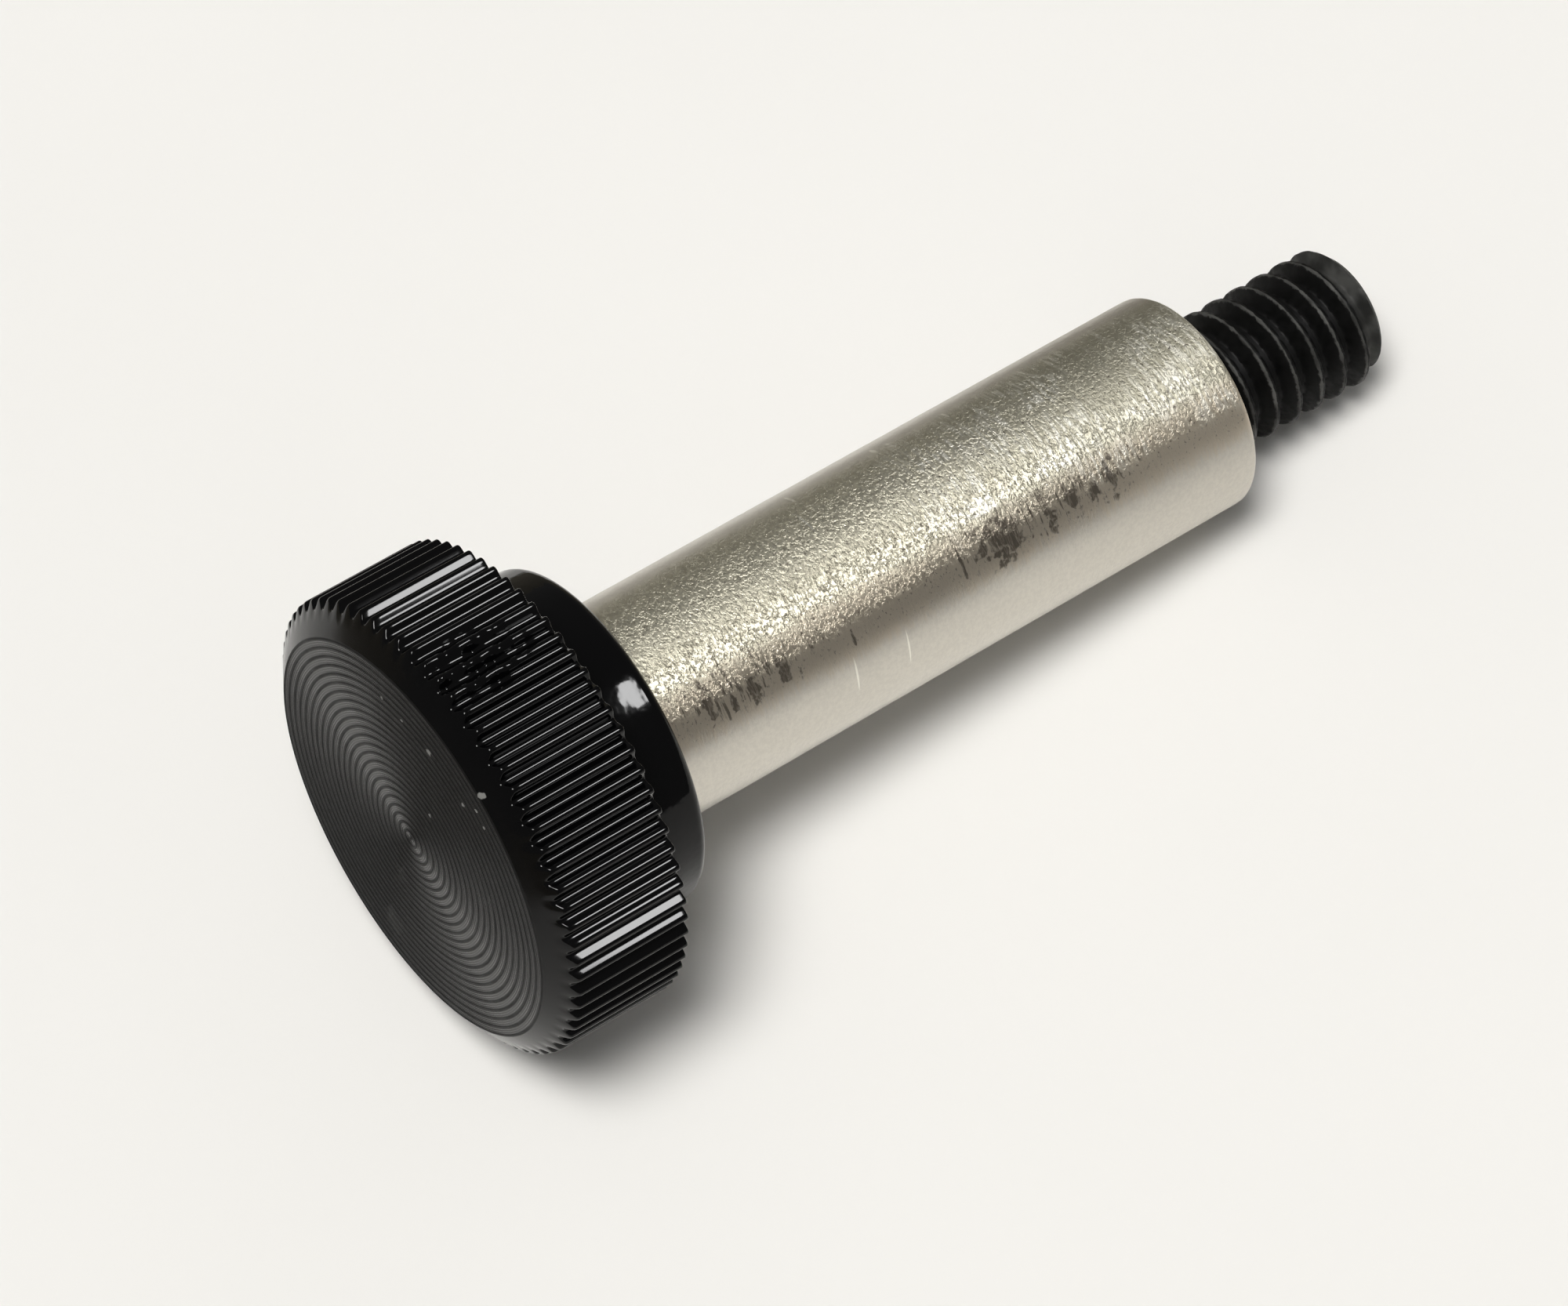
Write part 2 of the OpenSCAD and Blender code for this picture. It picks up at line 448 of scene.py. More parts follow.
def tooth_radius(angles):
    """Radius over the teeth: round crests and round grooves of one size, with straight flanks between."""
    turn = angles * TEETH / (2.0 * math.pi)
    from_crest = np.abs(turn - np.round(turn)) * TOOTH_STEP
    drop = bend_drop(np.minimum(from_crest, 0.5 * TOOTH_STEP - from_crest))
    half_drop = bend_drop(0.25 * TOOTH_STEP)
    return KNOB_R - np.where(from_crest < 0.25 * TOOTH_STEP, drop, 2.0 * half_drop - drop)


tooth_r = tooth_radius(FINE)
print("knurl pitch", round(TOOTH_STEP / MM, 3), "mm, depth", round(np.ptp(tooth_r) / MM, 3), "mm")

# %% The rings of the face
RING_COUNT = 23
RING_DEPTH = 0.010 * MM
MARKS_PER_RING = 4
MARK_DEPTH = 0.0165 * MM
MARK_STEPS = 5
FACE_COLUMNS = 72


def face_height(radius):
    """Depth below the face: a parabola from ridge to ridge for each ring, and steeper ones for its marks."""
    ring_turn = RING_COUNT * radius / FACE_R
    across = 2.0 * (ring_turn % 1.0) - 1.0
    mark_across = 2.0 * (MARKS_PER_RING * ring_turn % 1.0) - 1.0
    return RING_DEPTH * (1.0 - across**2) + MARK_DEPTH * (1.0 - mark_across**2)


face_radii = np.linspace(0.0, FACE_R, RING_COUNT * MARKS_PER_RING * MARK_STEPS + 1)[1:-1]
print("rings every", round(FACE_R / RING_COUNT / MM, 3), "mm, from", len(face_radii), "circles")

# %% [markdown]
# ### Scuffed teeth
# One stretch of the rim has been knocked: there the tops of the teeth are broken into short uneven lengths.
# The damage is cut into the teeth as a depth over angle and height. A few waves of unlike length, added up,
# make an uneven field, and a soft oval keeps it in its place.

# %% The depth of the scuffs
SCUFF_TURN = math.radians(-50.0)
SCUFF_HALF_TURN = math.radians(7.5)
SCUFF_HEIGHT = 2.5 * MM
SCUFF_HALF_HEIGHT = 2.3 * MM
SCUFF_DEPTH = 0.10 * MM
SCUFF_FULL, SCUFF_GONE = 0.75, 1.25
# Each wave: radians a millimetre along the axis and around it, and the phase
SCUFF_WAVES = ((5.3, 3.1, 0.0), (7.9, -4.3, 1.0), (3.1, 6.7, 2.0))


def scuff_depth(angles, height):
    """Depth of the knocks at each angle and height: an uneven sum of waves inside a soft oval."""
    turn = (angles - SCUFF_TURN + math.pi) % (2.0 * math.pi) - math.pi
    apart = np.hypot(turn / SCUFF_HALF_TURN, (height - SCUFF_HEIGHT) / SCUFF_HALF_HEIGHT)
    oval = np.clip((SCUFF_GONE - apart) / (SCUFF_GONE - SCUFF_FULL), 0.0, 1.0)
    along, around = height / MM, turn * KNOB_R / MM
    field = sum(np.sin(a * along + b * around + phase) for a, b, phase in SCUFF_WAVES)
    return SCUFF_DEPTH * oval * np.clip(0.5 * field, 0.0, 1.0)


print("deepest knock", round(SCUFF_DEPTH / MM, 2), "mm")

# %% The knob's rings, from the centre of the face to the back edge of the rim
COARSE = turns(144)
FACE_LIP = ((FACE_R - 0.02 * MM, 0.0), (FACE_R + 0.03 * MM, 0.016 * MM))
BEVEL_SHARES = (0.1, 0.5)
FRONT_EDGE = 0.14 * MM
BACK_EDGE = 0.09 * MM
RIM_ROWS = 22

knob_rings = [np.zeros((1, 3))]
knob_rings += [ring(r, face_height(r), turns(FACE_COLUMNS)) for r in face_radii]
knob_rings += [ring(r, z, COARSE) for r, z in FACE_LIP]

bevel_top = np.stack([tooth_r, BEVEL_H * (tooth_r - FACE_R) / BEVEL_W], axis=1)
bevel_foot = np.broadcast_to((FACE_R, 0.0), bevel_top.shape)
rim_top = np.stack([tooth_r, np.full_like(tooth_r, RIM_H)], axis=1)
inward = rim_top - (1.0 * MM, 0.0)
front = rounded_corner(bevel_foot, bevel_top, rim_top, FRONT_EDGE)
rear = rounded_corner(bevel_top, rim_top, inward, BACK_EDGE)

knob_rings += [ring(*(bevel_foot + share * (bevel_top - bevel_foot)).T, FINE) for share in BEVEL_SHARES]
knob_rings += [ring(*points.T, FINE) for points in front]
for share in np.linspace(0.0, 1.0, RIM_ROWS + 2)[1:-1]:
    r, z = (front[-1] + share * (rear[0] - front[-1])).T
    knob_rings.append(ring(r - scuff_depth(FINE, z), z, FINE))
knob_rings += [ring(*points.T, FINE) for points in rear]
print("face and rim have", len(knob_rings), "rings")

# %% The knob's other rings: collar, seat and the stud's hole
ROOT_FILLET = 0.12 * MM
FILLET_MIDDLE = 0.3
COLLAR_ROWS = 16
COLLAR_BENDS = 9
SEAT_STEP = 0.1 * MM


def collar_radius(height):
    """Radius of the collar at a height: a very flat arc, widest near its back edge."""
    return COLLAR_R - (height - COLLAR_CREST) ** 2 / (2.0 * COLLAR_BULGE_R)


collar_low, collar_high = RIM_H + ROOT_FILLET, COLLAR_TOP - COLLAR_EDGE
root_r = collar_radius(collar_low)
fillet_in = FILLET_MIDDLE * ROOT_FILLET
collar = [(root_r + ROOT_FILLET, RIM_H), (root_r + fillet_in, RIM_H + fillet_in)]
collar += [(collar_radius(z), z) for z in np.linspace(collar_low, collar_high, COLLAR_ROWS)]
collar += rounded_end(COLLAR_R, COLLAR_TOP, COLLAR_EDGE, COLLAR_BENDS)
collar += [(COLLAR_R - COLLAR_EDGE - SEAT_STEP, COLLAR_TOP), (BORE_R, COLLAR_TOP), (BORE_R, HOLE_FLOOR)]
knob_rings += [ring(r, z, COARSE) for r, z in collar]
knob_rings.append(np.array([(0.0, 0.0, HOLE_FLOOR)]))
knob = turned_piece("knurled_knob", knob_rings)

# %% [markdown]
# ## Shank
# The shank is a plain sleeve with a rounded free end and a through bore. A tube with a bevel would do, but
# the lathe helpers make it in the same way as the knob. Its section is a closed loop, so the last ring is
# joined to the first.

# %% The shank's rings: outside, free end, bore and seat
SLEEVE = turns(256)
SLEEVE_ROWS = 40
SLEEVE_BENDS = 6

sleeve_rows = np.linspace(COLLAR_TOP + SEAT_BREAK, SHANK_TOP - SHANK_EDGE, SLEEVE_ROWS)
outside = [(SHANK_R, z) for z in sleeve_rows]
outside += rounded_end(SHANK_R, SHANK_TOP, SHANK_EDGE, SLEEVE_BENDS)
inside = [
    (BORE_R + BORE_MOUTH, SHANK_TOP),
    (BORE_R, SHANK_TOP - BORE_MOUTH),
    (BORE_R, COLLAR_TOP + BORE_MOUTH),
    (BORE_R + BORE_MOUTH, COLLAR_TOP),
    (SHANK_R - SEAT_BREAK, COLLAR_TOP),
]
shank = turned_piece("shank_sleeve", [ring(r, z, SLEEVE) for r, z in outside + inside], closed=True)

# %% [markdown]
# ## Threaded stud
# The thread is a groove that climbs by one pitch in each turn. A profile could be swept along a helix, but
# its ends are hard to close. Seen on the grid of angle and height, the groove's depth depends only on the
# height less the climb at that angle, so one periodic profile gives the whole right-hand thread. The
# chamfers at the two ends are cones that cap the radius.

# %% The thread's profile and the stud's rings
PITCH = 1.27 * MM
THREAD_DEPTH = 0.72 * MM
CREST_SHARE = 0.14
ROOT_SHARE = 0.22
THREAD_START = 0.35
END_CHAMFER = 0.45 * MM
WAIST_R = 2.75 * MM
WAIST_STEP = 0.1 * MM
ROOT_THREAD_TOP = COLLAR_TOP + 4.0 * MM
ROOT_ROWS, FREE_ROWS = 120, 150
SHARP_DEGREES = 50.0
ROUND = turns(144)


def thread_radius(angles, height, from_end):
    """Radius of a 60 degree thread at each angle: crest, flanks and root, under a cone at its end."""
    phase = (height / PITCH - angles / (2.0 * math.pi) + THREAD_START) % 1.0
    from_crest = np.abs(phase - 0.5) * 2.0
    rise = np.clip((1.0 - ROOT_SHARE - from_crest) / (1.0 - ROOT_SHARE - CREST_SHARE), 0.0, 1.0)
    radius = STUD_R - THREAD_DEPTH * (1.0 - rise)
    return np.minimum(radius, STUD_R - END_CHAMFER + from_end)


stud_rings = [np.array([(0.0, 0.0, HOLE_FLOOR)])]
for z in np.linspace(HOLE_FLOOR, ROOT_THREAD_TOP, ROOT_ROWS):
    stud_rings.append(ring(thread_radius(ROUND, z, z - HOLE_FLOOR), z, ROUND))
stud_rings += [ring(WAIST_R, z, ROUND) for z in (ROOT_THREAD_TOP + WAIST_STEP, SHANK_TOP - WAIST_STEP)]
for z in np.linspace(SHANK_TOP, STUD_TOP, FREE_ROWS):
    stud_rings.append(ring(thread_radius(ROUND, z, STUD_TOP - z), z, ROUND))
stud_rings.append(np.array([(0.0, 0.0, STUD_TOP)]))
stud = turned_piece("threaded_stud_helix", stud_rings, sharp_degrees=SHARP_DEGREES)

# %% [markdown]
# ## Shared effects
# Two effects come back on several finishes, so each is a node group. Grain is noise that may be drawn out in
# one direction, with its darkest dots given apart as pits. A mark is one soft-edged patch: a scratch that
# runs round the piece, a scrape along it or a speck, by its half lengths around and along the axis.

# %% A node group for grain
GRAIN_DETAIL, GRAIN_ROUGHNESS = 3.0, 0.6
PIT_EDGES = (0.40, 0.33)


def new_group(name, inputs, outputs):
    """A node group with these sockets and no nodes but its input node, and that node's outputs."""
    tree = bpy.data.node_groups.new(name, "ShaderNodeTree")
    for label, kind in inputs.items():
        tree.interface.new_socket(name=label, in_out="INPUT", socket_type="NodeSocket" + kind)
    for label in outputs:
        tree.interface.new_socket(name=label, in_out="OUTPUT", socket_type="NodeSocketFloat")
    return tree, add(tree, "NodeGroupInput").outputs


def place_group(tree, group, sockets):
    """Places a node group in a tree with its own values, and returns its outputs."""
    node = tree.nodes.new("ShaderNodeGroup")
    node.node_tree = group
    fill(tree, node, sockets)
    return node.outputs


def grain(tree, place, cells, stretch=(1.0, 1.0, 1.0)):
    """The grain group's outputs, Height and Pits, for that many cells a metre."""
    return place_group(tree, grain_group, {"Place": place, "Stretch": stretch, "Cells": cells})


grain_sockets = {"Place": "Vector", "Stretch": "Vector", "Cells": "Float"}
grain_group, given = new_group("grain", grain_sockets, ("Height", "Pits"))
drawn_out = vector_math(grain_group, "MULTIPLY", given["Place"], given["Stretch"])
height = noise(grain_group, drawn_out, given["Cells"], GRAIN_DETAIL, GRAIN_ROUGHNESS)
add(grain_group, "NodeGroupOutput", {"Height": height, "Pits": ramp(grain_group, height, *PIT_EDGES)})
print("grain group takes", list(grain_sockets))

# %% A node group for single marks
MARK_EDGES = (1.0, 0.6)


def marks(tree, place, ragged, places):
    """The largest mask of several marks, each given by its centre and its half lengths around and along."""
    mask = 0.0
    for centre, around, along in places:
        sockets = {"Place": place, "Centre": centre, "Around": around, "Along": along, "Ragged": ragged}
        mask = largest(tree, place_group(tree, mark_group, sockets)["Mask"], mask)
    return mask


mark_sockets = {"Place": "Vector", "Centre": "Vector", "Around": "Float", "Along": "Float", "Ragged": "Float"}
mark_group, given = new_group("mark", mark_sockets, ("Mask",))
offset = vector_math(mark_group, "SUBTRACT", given["Place"], given["Centre"])
half_lengths = {0: given["Around"], 1: given["Around"], 2: given["Along"]}
halves = add(mark_group, "ShaderNodeCombineXYZ", half_lengths).outputs[0]
apart = vector_math(mark_group, "LENGTH", vector_math(mark_group, "DIVIDE", offset, halves), output="Value")
apart = math_node(mark_group, "ADD", apart, given["Ragged"])
add(mark_group, "NodeGroupOutput", {"Mask": ramp(mark_group, apart, *MARK_EDGES)})
print("mark group takes", list(mark_sockets))

# %% [markdown]
# ## Black anodised finish
# Anodised aluminium has a thin clear oxide layer with black dye in it: almost no diffuse colour and a glossy
# skin, so it shows the room by its mirror image. The hollows of the face's rings are glossy and the ridges
# between them duller. On the collar the skin is a little uneven, which breaks up the lamp's image. Handling
# leaves faint smudges, which change the gloss, and dust and smears on the face. None of this changes the
# outline, so all of it is patterns on one shader.

# %% Dust and smears on the face
# Each: the centre on the face and the radius, in millimetres
DUST = [
    ((2.78, -6.97), 0.11), ((3.85, -6.13), 0.10), ((5.27, -4.96), 0.18), ((2.90, -1.61), 0.10),
    ((6.63, -2.82), 0.11), ((7.70, -2.74), 0.13), ((7.80, -1.98), 0.12), ((8.59, -3.52), 0.16),
]
SMEARS = [((-2.51, 2.54), 0.7), ((-5.14, 5.06), 0.9), ((4.94, 1.75), 0.8), ((5.30, 0.60), 0.6)]
SMUDGE_CELLS, RAGGED_CELLS = 450.0, 3000.0
FACE_RAGGED = 0.4
SMEAR_EDGES, SMEAR_SHARE = (0.4, 0.65), 0.12


def on_face(places):
    """Marks on the knob's face from their centres and radii in millimetres."""
    return [((x * MM, y * MM, 0.0), size * MM, BEVEL_H) for (x, y), size in places]


anodised, tree, place = new_material("black_anodised")
smudge = noise(tree, place, SMUDGE_CELLS, **CLOUDY)
ragged = ramp(tree, noise(tree, place, RAGGED_CELLS), *NOISE_RANGE, -FACE_RAGGED, FACE_RAGGED)
dust = marks(tree, place, ragged, on_face(DUST))
smear = marks(tree, place, ragged, on_face(SMEARS))
smear = times(tree, smear, ramp(tree, smudge, *SMEAR_EDGES, 0.0, SMEAR_SHARE))
print(len(DUST), "specks and", len(SMEARS), "smears")

# %% Colour and gloss of the black anodise
DYE, DYE_FADED = (0.0010, 0.0010, 0.0012, 1.0), (0.0018, 0.0018, 0.0020, 1.0)
DUST_TINT = (0.22, 0.22, 0.21, 1.0)
FACE_GLOSS, RIDGE_GLOSS = 0.12, 0.55
BEVEL_GLOSS, RIM_GLOSS = 0.20, 0.07
# A ridge begins and is full this far from the middle of a ring, in ring widths
RIDGE_EDGES = (0.18, 0.43)
FACE_ENDS = (0.03 * MM, 0.06 * MM)
BEVEL_ENDS = (0.1 * MM, BEVEL_H)
SMUDGE_EDGES, SMUDGE_GLOSS = (0.35, 0.7), (0.95, 1.15)
SKIN_CELLS, SKIN_DEPTH = 520.0, 0.03 * MM
OXIDE_IOR = 1.3


def finish_material(tree, sockets):
    """Adds the surface shader with these sockets, and the output."""
    shader = add(tree, "ShaderNodeBsdfPrincipled", sockets)
    add(tree, "ShaderNodeOutputMaterial", {"Surface": shader.outputs[0]})


tint = mix_colour(tree, smudge, DYE, DYE_FADED)
tint = mix_colour(tree, largest(tree, dust, smear), tint, DUST_TINT)

rings_out = vector_math(tree, "MULTIPLY", place, (RING_COUNT / FACE_R, RING_COUNT / FACE_R, 0.0))
rings_out = vector_math(tree, "LENGTH", rings_out, output="Value")
from_middle = math_node(tree, "SUBTRACT", math_node(tree, "FRACT", rings_out), 0.5)
from_middle = math_node(tree, "ABSOLUTE", from_middle)
ring_gloss = ramp(tree, from_middle, *RIDGE_EDGES, FACE_GLOSS, RIDGE_GLOSS)
height = add(tree, "ShaderNodeSeparateXYZ", {0: place}).outputs["Z"]
bevel_gloss = ramp(tree, height, *BEVEL_ENDS, BEVEL_GLOSS, RIM_GLOSS)
gloss = ramp(tree, height, *FACE_ENDS, ring_gloss, bevel_gloss)
gloss = times(tree, gloss, ramp(tree, smudge, *SMUDGE_EDGES, *SMUDGE_GLOSS))

on_collar = ramp(tree, height, RIM_H, RIM_H + BEVEL_H)
skin = times(tree, grain(tree, place, SKIN_CELLS)["Height"], on_collar)
uneven = add(tree, "ShaderNodeBump", {"Strength": 1.0, "Distance": SKIN_DEPTH, "Height": skin})
skin_sockets = {"Base Color": tint, "Roughness": gloss, "IOR": OXIDE_IOR, "Normal": uneven.outputs[0]}
finish_material(tree, skin_sockets)
knob.data.materials.append(anodised)
print("black anodise ready")

# %% [markdown]
# ## Worn nickel
# The sleeve was ground round its axis and nickel plated, then rubbed by whatever it passed through. Its upper
# side is covered with small dents that scatter the light into a speckle, and on one band there its tint is
# made
# paler: a painted sheen. Toward the free end it is duller, with bright rubbed streaks, and its tint there
# turns darker, partly for the duller plating and partly as a painted shade on the lamp's highlight. Its lower
# side has kept the smooth plating and mirrors the room: dark, then pale where it mirrors the sheet. Between
# the two lies a brownish stain with dark spots and strokes. Fine grinding lines run round it. The dents and
# the lines are a bump, because they are far smaller than the sleeve's outline. Each kind of wear, and the
# painted sheen and shade, is a mask that mixes one more tint into the colour, and each band along the sleeve
# is told by its angle round the axis.

# %% Places on the sleeve
def on_shank(turn, height):
    """The point of the sleeve's outside at a turn in degrees and a height in millimetres."""
    angle = math.radians(turn)
    return (SHANK_R * math.cos(angle), SHANK_R * math.sin(angle), height * MM)


def along_shank(places):
    """Marks on the sleeve from turn, height and half lengths around and along, in degrees and millimetres."""
    return [(on_shank(turn, height), around * MM, along * MM) for turn, height, around, along in places]


def band(tree, place, middle, outer, inner, low=0.0, high=1.0, sway=0.0):
    """Low to high over a band along the sleeve: its middle turn, and the angles where it ends and is full."""
    turn = math.radians(middle)
    outward = vector_math(tree, "NORMALIZE", vector_math(tree, "MULTIPLY", place, (1.0, 1.0, 0.0)))
    facing = vector_math(tree, "DOT_PRODUCT", outward, (math.cos(turn), math.sin(turn), 0.0), "Value")
    ends = math.cos(math.radians(outer)), math.cos(math.radians(inner))
    return ramp(tree, math_node(tree, "ADD", facing, sway), *ends, low, high)


# Each mark: turn in degrees, then height and half lengths around and along in millimetres
BRIGHT_SCRATCHES = [
    (-63.6, 20.6, 0.85, 0.06), (-88.0, 25.7, 0.35, 0.12), (-22.7, 27.4, 0.12, 0.9),
    (18.0, 19.2, 1.0, 0.06), (19.0, 21.9, 1.0, 0.05), (-86.0, 21.2, 0.6, 0.08),
    (-84.0, 26.4, 0.5, 0.07), (-84.0, 29.3, 0.4, 0.08), (-84.0, 33.4, 0.4, 0.06),
]
RUBBED_PATCHES = [
    (-60.0, 27.3, 0.55, 1.1), (-41.5, 27.3, 0.45, 1.1), (-26.0, 27.4, 0.40, 1.1),
    (-60.0, 30.5, 0.4, 0.4), (-41.0, 30.6, 0.45, 0.4), (-60.0, 32.8, 0.45, 0.8),
    (-41.0, 32.7, 0.45, 0.6), (-26.0, 31.3, 0.35, 1.0),
]
DARK_PATCHES = [
    (-7.0, 12.3, 1.0, 0.25), (-3.0, 13.4, 0.5, 0.15), (-3.0, 14.5, 0.5, 0.3),
    (-5.0, 16.0, 0.7, 0.25), (-1.0, 19.5, 0.4, 0.08), (-8.0, 25.4, 0.9, 0.08),
    (-7.0, 27.3, 1.0, 1.1), (-6.0, 30.1, 0.7, 0.3), (-6.0, 31.3, 0.7, 0.35),
    (-6.0, 32.4, 0.7, 0.25), (-8.0, 33.4, 0.9, 0.25),
]
STROKED = [(-9.0, 14.3, 1.1, 3.2), (-9.0, 29.8, 1.1, 4.8)]
print(len(BRIGHT_SCRATCHES) + len(RUBBED_PATCHES), "bright marks and", len(DARK_PATCHES), "dark ones")

# %% The sleeve's patterns: dents, grinding lines and the bands that they lie in
# Each band: its middle turn, and the angles from it where the band ends and where it is full
DENTED, PITTED, STAINED = (-47.0, 45.0, 29.0), (-28.0, 38.0, 22.0), (-6.0, 19.0, 6.0)
CLOUD_CELLS = 300.0
TORN_CELLS, TORN = 2500.0, 0.5
WAVER_EDGES, WAVER = (0.25, 0.75), 0.02
STREAKY_EDGES, STREAKY = (0.6, 1.4), 0.015
DENT_CELLS, DENT_STRETCH = 5400.0, (1.0, 1.0, 1.3)
LINE_CELLS, LINE_STRETCH = 900.0, (1.0, 1.0, 8.0)
DOT_CELLS, DOT_STRETCH = 5200.0, (1.0, 1.0, 1.6)

nickel, tree, place = new_material("worn_nickel")
cloud = noise(tree, place, CLOUD_CELLS, **CLOUDY)
torn = ramp(tree, noise(tree, place, TORN_CELLS), *NOISE_RANGE, -TORN, TORN)
dents = grain(tree, place, DENT_CELLS, DENT_STRETCH)["Height"]
lines = grain(tree, place, LINE_CELLS, LINE_STRETCH)["Height"]
dots = grain(tree, place, DOT_CELLS, DOT_STRETCH)["Pits"]
waver = ramp(tree, cloud, *WAVER_EDGES, -WAVER, WAVER)
streaky = ramp(tree, math_node(tree, "ADD", lines, cloud), *STREAKY_EDGES, -STREAKY, STREAKY)
dented = band(tree, place, *DENTED, sway=waver)
pitted = band(tree, place, *PITTED)
stained = band(tree, place, *STAINED, sway=streaky)
height = add(tree, "ShaderNodeSeparateXYZ", {0: place}).outputs["Z"]
print("the dents lie", DENTED[1], "degrees either side of", DENTED[0])

# %% Dents and grinding lines as a bump
RELIEF_DEPTH = 0.0285 * MM
DENT_EDGES = (0.30, 0.56)
SMOOTH_SIDE_DENTS = 0.12
LINE_SHARES = (0.3, 1.2)

dent_share = ramp(tree, dented, 0.0, 1.0, SMOOTH_SIDE_DENTS, 1.0)
line_share = ramp(tree, dented, 0.0, 1.0, *LINE_SHARES)
relief = times(tree, ramp(tree, dents, *DENT_EDGES), dent_share)
relief = math_node(tree, "ADD", relief, times(tree, lines, line_share))
bump = add(tree, "ShaderNodeBump", {"Strength": 1.0, "Distance": RELIEF_DEPTH, "Height": relief})
print("dents up to", RELIEF_DEPTH / MM, "mm deep")

# %% Rubbed and dark marks
FINE_LINE_EDGES, FINE_LINE_SHARE = (0.46, 0.56), 0.8
BROKEN_EDGES = (0.34, 0.52)
STROKE_EDGES, STROKE_SHARE = (0.48, 0.39), 0.95
SCRATCH_SHARE, DOT_SHARE, DARK_SHARE = 0.7, 0.85, 0.85
STREAK_ENDS = (22.0 * MM, 29.0 * MM)
STREAK_EDGES, STREAK_SHARES = (0.42, 0.58), (0.1, 0.75)

fine_lines = ramp(tree, lines, *FINE_LINE_EDGES, 0.0, FINE_LINE_SHARE)
rubbed = times(tree, marks(tree, place, torn, along_shank(RUBBED_PATCHES)), fine_lines)
scratched = times(tree, marks(tree, place, 0.0, along_shank(BRIGHT_SCRATCHES)), SCRATCH_SHARE)
in_clouds = ramp(tree, cloud, *STREAK_EDGES, *STREAK_SHARES)
far_end = times(tree, ramp(tree, height, *STREAK_ENDS), in_clouds)
streaks = times(tree, times(tree, fine_lines, far_end), dented)
rubbed = largest(tree, largest(tree, rubbed, scratched), streaks)

broken = ramp(tree, lines, *BROKEN_EDGES)
spots = times(tree, marks(tree, place, torn, along_shank(DARK_PATCHES)), broken)
strokes = ramp(tree, lines, *STROKE_EDGES, 0.0, STROKE_SHARE)
strokes = times(tree, marks(tree, place, torn, along_shank(STROKED)), strokes)
dark_dots = times(tree, dots, times(tree, pitted, DOT_SHARE))
dark = times(tree, largest(tree, largest(tree, spots, strokes), dark_dots), DARK_SHARE)
print("rubbed streaks begin", round(STREAK_ENDS[0] / MM), "mm above the face")

# %% Colour and gloss of the worn nickel
# The second band is a painted sheen: there the speckle turns paler, standing for the lamp's light that the
# dents scatter.
SPECKLED, PAINTED_SHEEN_BAND, DULLED = (-41.0, 38.0, 25.0), (-60.0, 28.0, 8.0), (-64.0, 40.0, 18.0)
SPECKLE_CELLS, SPECKLE_EDGES, SPECKLE_LEAST = 4400.0, (0.38, 0.62), 0.1
GRITTY = {"detail": 4.0, "roughness": 0.75}
SPECKLE_DARK, SPECKLE_LIGHT = (0.36, 0.335, 0.26, 1.0), (0.82, 0.78, 0.63, 1.0)
PLATING, PLATING_DENTED = (0.63, 0.60, 0.545, 1.0), (0.62, 0.59, 0.475, 1.0)
# The paler tint of that band, a painted sheen, and its share
PAINTED_SHEEN_TINT, PAINTED_SHEEN_SHARE = (0.97, 0.93, 0.77, 1.0), 0.42
# A darker tint toward the free end on the dented band, its heights and its share: partly duller plating,
# partly painted shade that dims the lamp's highlight
DULL_AND_SHADE_TINT, DULL_AND_SHADE_ENDS, DULL_AND_SHADE_SHARE = (0.44, 0.42, 0.335, 1.0), (25.0 * MM, 36.0 * MM), 0.75
STAIN_TINT, STAIN_SHARE = (0.66, 0.58, 0.46, 1.0), 0.8
RUBBED_TINT, DARK_TINT = (0.97, 0.95, 0.86, 1.0), (0.13, 0.11, 0.09, 1.0)
PLATING_GLOSS, DULLED_GLOSS = 0.36, 0.47
FREE_END, FREE_END_DULLER = (27.0 * MM, 38.0 * MM), 0.10
ROUND_THE_AXIS = {"Anisotropic": 0.5, "Anisotropic Rotation": 0.25}

speckle = ramp(tree, noise(tree, place, SPECKLE_CELLS, **GRITTY), *SPECKLE_EDGES)
speckle = mix_colour(tree, speckle, SPECKLE_DARK, SPECKLE_LIGHT)
# Painted sheen: the speckle is mixed toward a paler tint on one band of the upper side
speckle = mix_colour(tree, band(tree, place, *PAINTED_SHEEN_BAND, 0.0, PAINTED_SHEEN_SHARE), speckle, PAINTED_SHEEN_TINT)
tint = mix_colour(tree, dented, PLATING, PLATING_DENTED)
tint = mix_colour(tree, band(tree, place, *SPECKLED, SPECKLE_LEAST, 1.0), tint, speckle)
# Darker toward the free end: partly duller plating, partly painted shade on the lamp's highlight
dull_and_shade = times(tree, ramp(tree, height, *DULL_AND_SHADE_ENDS, 0.0, DULL_AND_SHADE_SHARE), dented)
tint = mix_colour(tree, dull_and_shade, tint, DULL_AND_SHADE_TINT)
tint = mix_colour(tree, times(tree, stained, STAIN_SHARE), tint, STAIN_TINT)
tint = mix_colour(tree, rubbed, tint, RUBBED_TINT)
tint = mix_colour(tree, dark, tint, DARK_TINT)
gloss = band(tree, place, *DULLED, PLATING_GLOSS, DULLED_GLOSS)
gloss = math_node(tree, "ADD", gloss, ramp(tree, height, *FREE_END, 0.0, FREE_END_DULLER))
nickel_sockets = {"Base Color": tint, "Metallic": 1.0, "Roughness": gloss, "Normal": bump.outputs[0]}
finish_material(tree, nickel_sockets | ROUND_THE_AXIS)
shank.data.materials.append(nickel)
print("worn nickel ready")
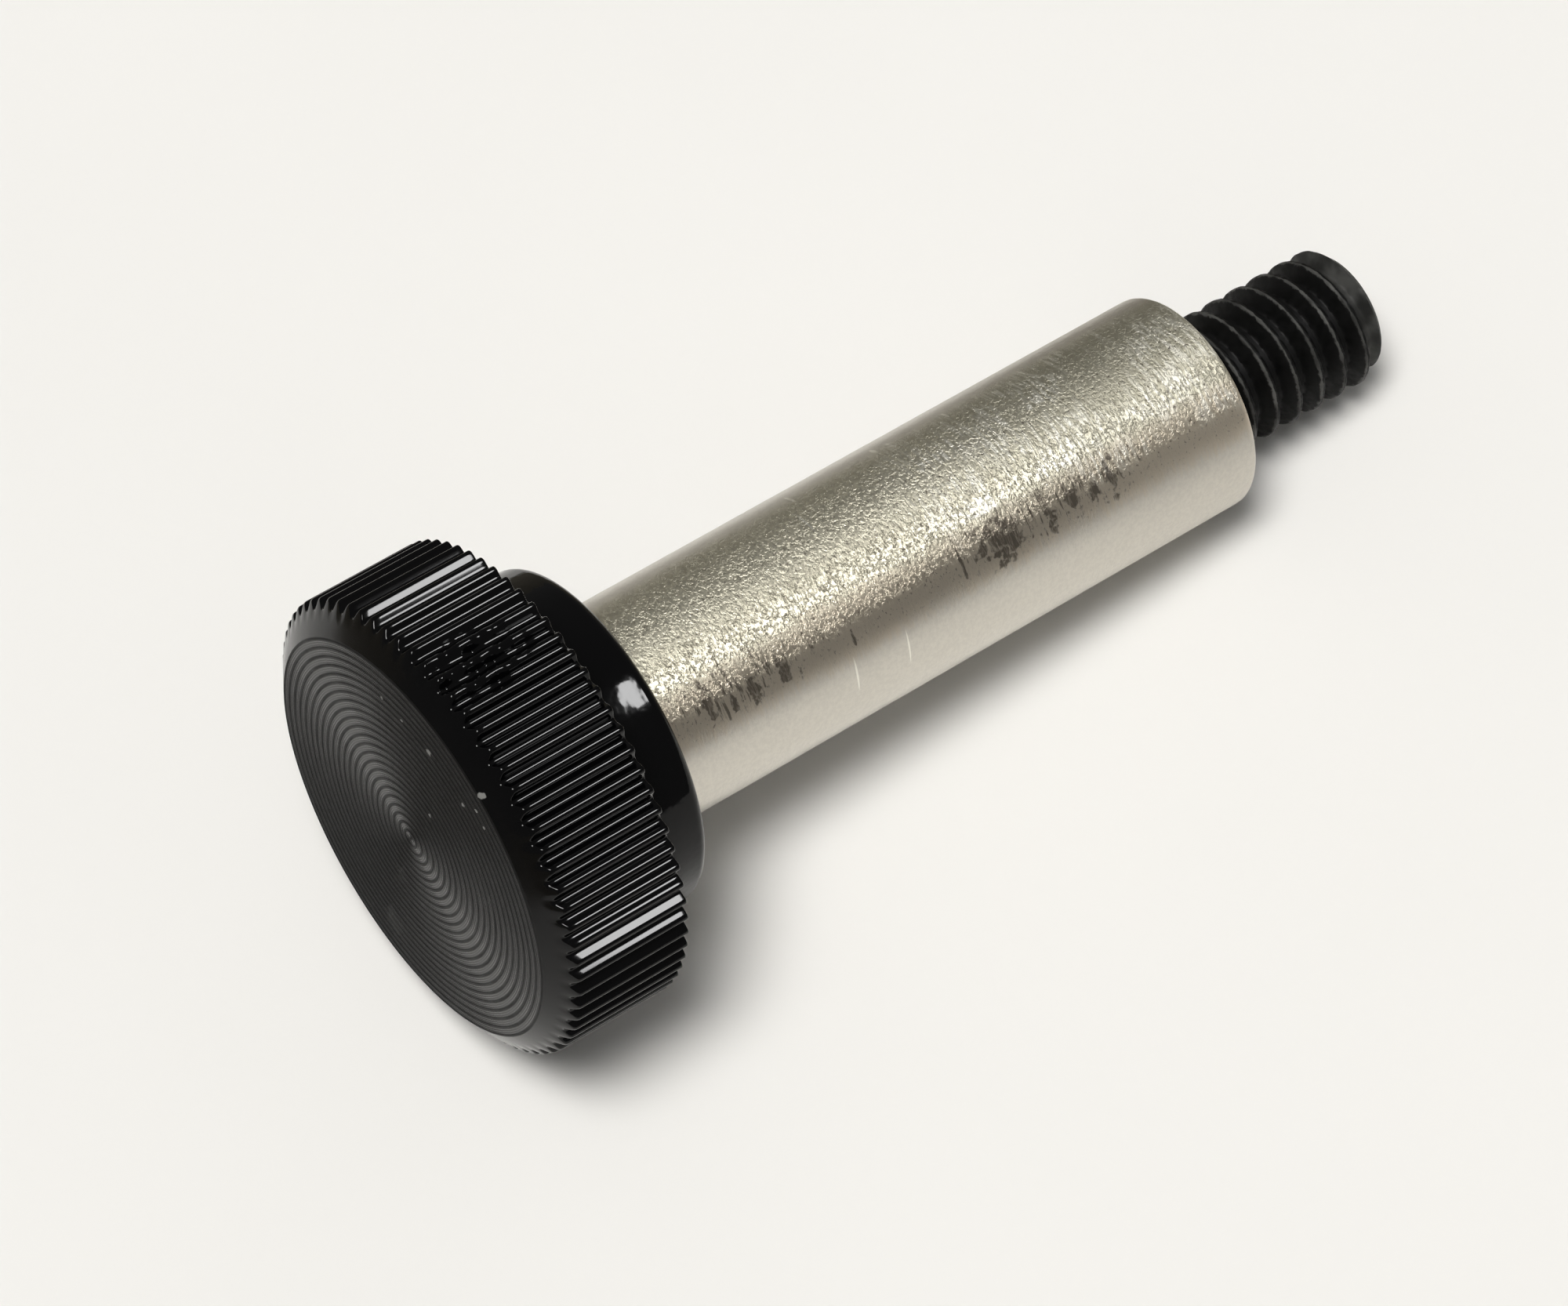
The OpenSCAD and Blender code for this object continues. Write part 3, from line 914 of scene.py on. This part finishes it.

# %% [markdown]
# ## Black oxide
# The stud has a thin matt oxide, dull and nearly black. It is rubbed off round the tip, where the steel shows
# through in grey. Along the crests of the thread runs a grey line on the edge toward the knob, where the
# crest
# catches the light: it is partly worn steel and partly a painted glint. The line follows the same helix as
# the shape, so its mask is worked out in the same way: the height less the climb at that angle, counted in
# pitches.

# %% Black oxide
# The grey line on the crests, partly worn steel and partly a painted glint: its place in a pitch, its half
# width in pitches, and the share of it that is fully grey
WEAR_AND_GLINT_PHASE, WEAR_AND_GLINT_HALF, WEAR_AND_GLINT_CORE = 0.45, 0.065, 0.4
CREST_UNEVEN = (-0.02, 0.03)
ROUGH_CELLS, PATCH_CELLS = 2500.0, 600.0
PATCH_EDGES, PATCH_LEAST = (0.35, 0.65), 0.3
TIP_ENDS, TIP_SHARE = (STUD_TOP - 2.6 * END_CHAMFER, STUD_TOP - 1.2 * END_CHAMFER), 0.8
# The grey of bare steel, used also for the crest line's painted glint
BLACK, BLACK_FADED = (0.0015, 0.0015, 0.0015, 1.0), (0.004, 0.004, 0.0037, 1.0)
BARE_STEEL_AND_GLINT = (0.085, 0.085, 0.08, 1.0)
MATT_GLOSS = (0.45, 0.65)
MATT_IOR = 1.25

oxide, tree, place = new_material("black_oxide")
axes = add(tree, "ShaderNodeSeparateXYZ", {0: place}).outputs
climb = math_node(tree, "DIVIDE", math_node(tree, "ARCTAN2", axes["Y"], axes["X"]), 2.0 * math.pi)
phase = math_node(tree, "SUBTRACT", math_node(tree, "DIVIDE", axes["Z"], PITCH), climb)
phase = math_node(tree, "FRACT", math_node(tree, "ADD", phase, THREAD_START))
rough = grain(tree, place, ROUGH_CELLS)["Height"]
from_crest = math_node(tree, "ABSOLUTE", math_node(tree, "SUBTRACT", phase, WEAR_AND_GLINT_PHASE))
from_crest = math_node(tree, "ADD", from_crest, ramp(tree, rough, *NOISE_RANGE, *CREST_UNEVEN))
# Grey line on the crest edge toward the knob: partly worn steel, partly a painted glint where the crest
# catches the light
crest_wear_and_glint = ramp(tree, from_crest, WEAR_AND_GLINT_HALF, WEAR_AND_GLINT_CORE * WEAR_AND_GLINT_HALF)
tip = ramp(tree, axes["Z"], *TIP_ENDS, 0.0, TIP_SHARE)
patchy = ramp(tree, noise(tree, place, PATCH_CELLS), *PATCH_EDGES, PATCH_LEAST, 1.0)
# The tip's wear and the crest line together, the crest line partly a painted glint, mixed toward the grey of
# bare steel
wear_and_glint = times(tree, largest(tree, crest_wear_and_glint, tip), patchy)
tint = mix_colour(tree, wear_and_glint, mix_colour(tree, rough, BLACK, BLACK_FADED), BARE_STEEL_AND_GLINT)
gloss = ramp(tree, rough, *NOISE_RANGE, *MATT_GLOSS)
finish_material(tree, {"Base Color": tint, "Roughness": gloss, "IOR": MATT_IOR})
stud.data.materials.append(oxide)
print("black oxide ready")

# %% [markdown]
# ## Hand over
# Each dressed piece rides on the part's one body and stands for its solid, which is hidden.

# %% Ride and replace
for piece, node, slot in ((knob, "knob", "black_anodised"), (shank, "shank", "worn_nickel"),
                          (stud, "threaded_stud", "black_oxide")):
    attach(piece, "root")
    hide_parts(node)
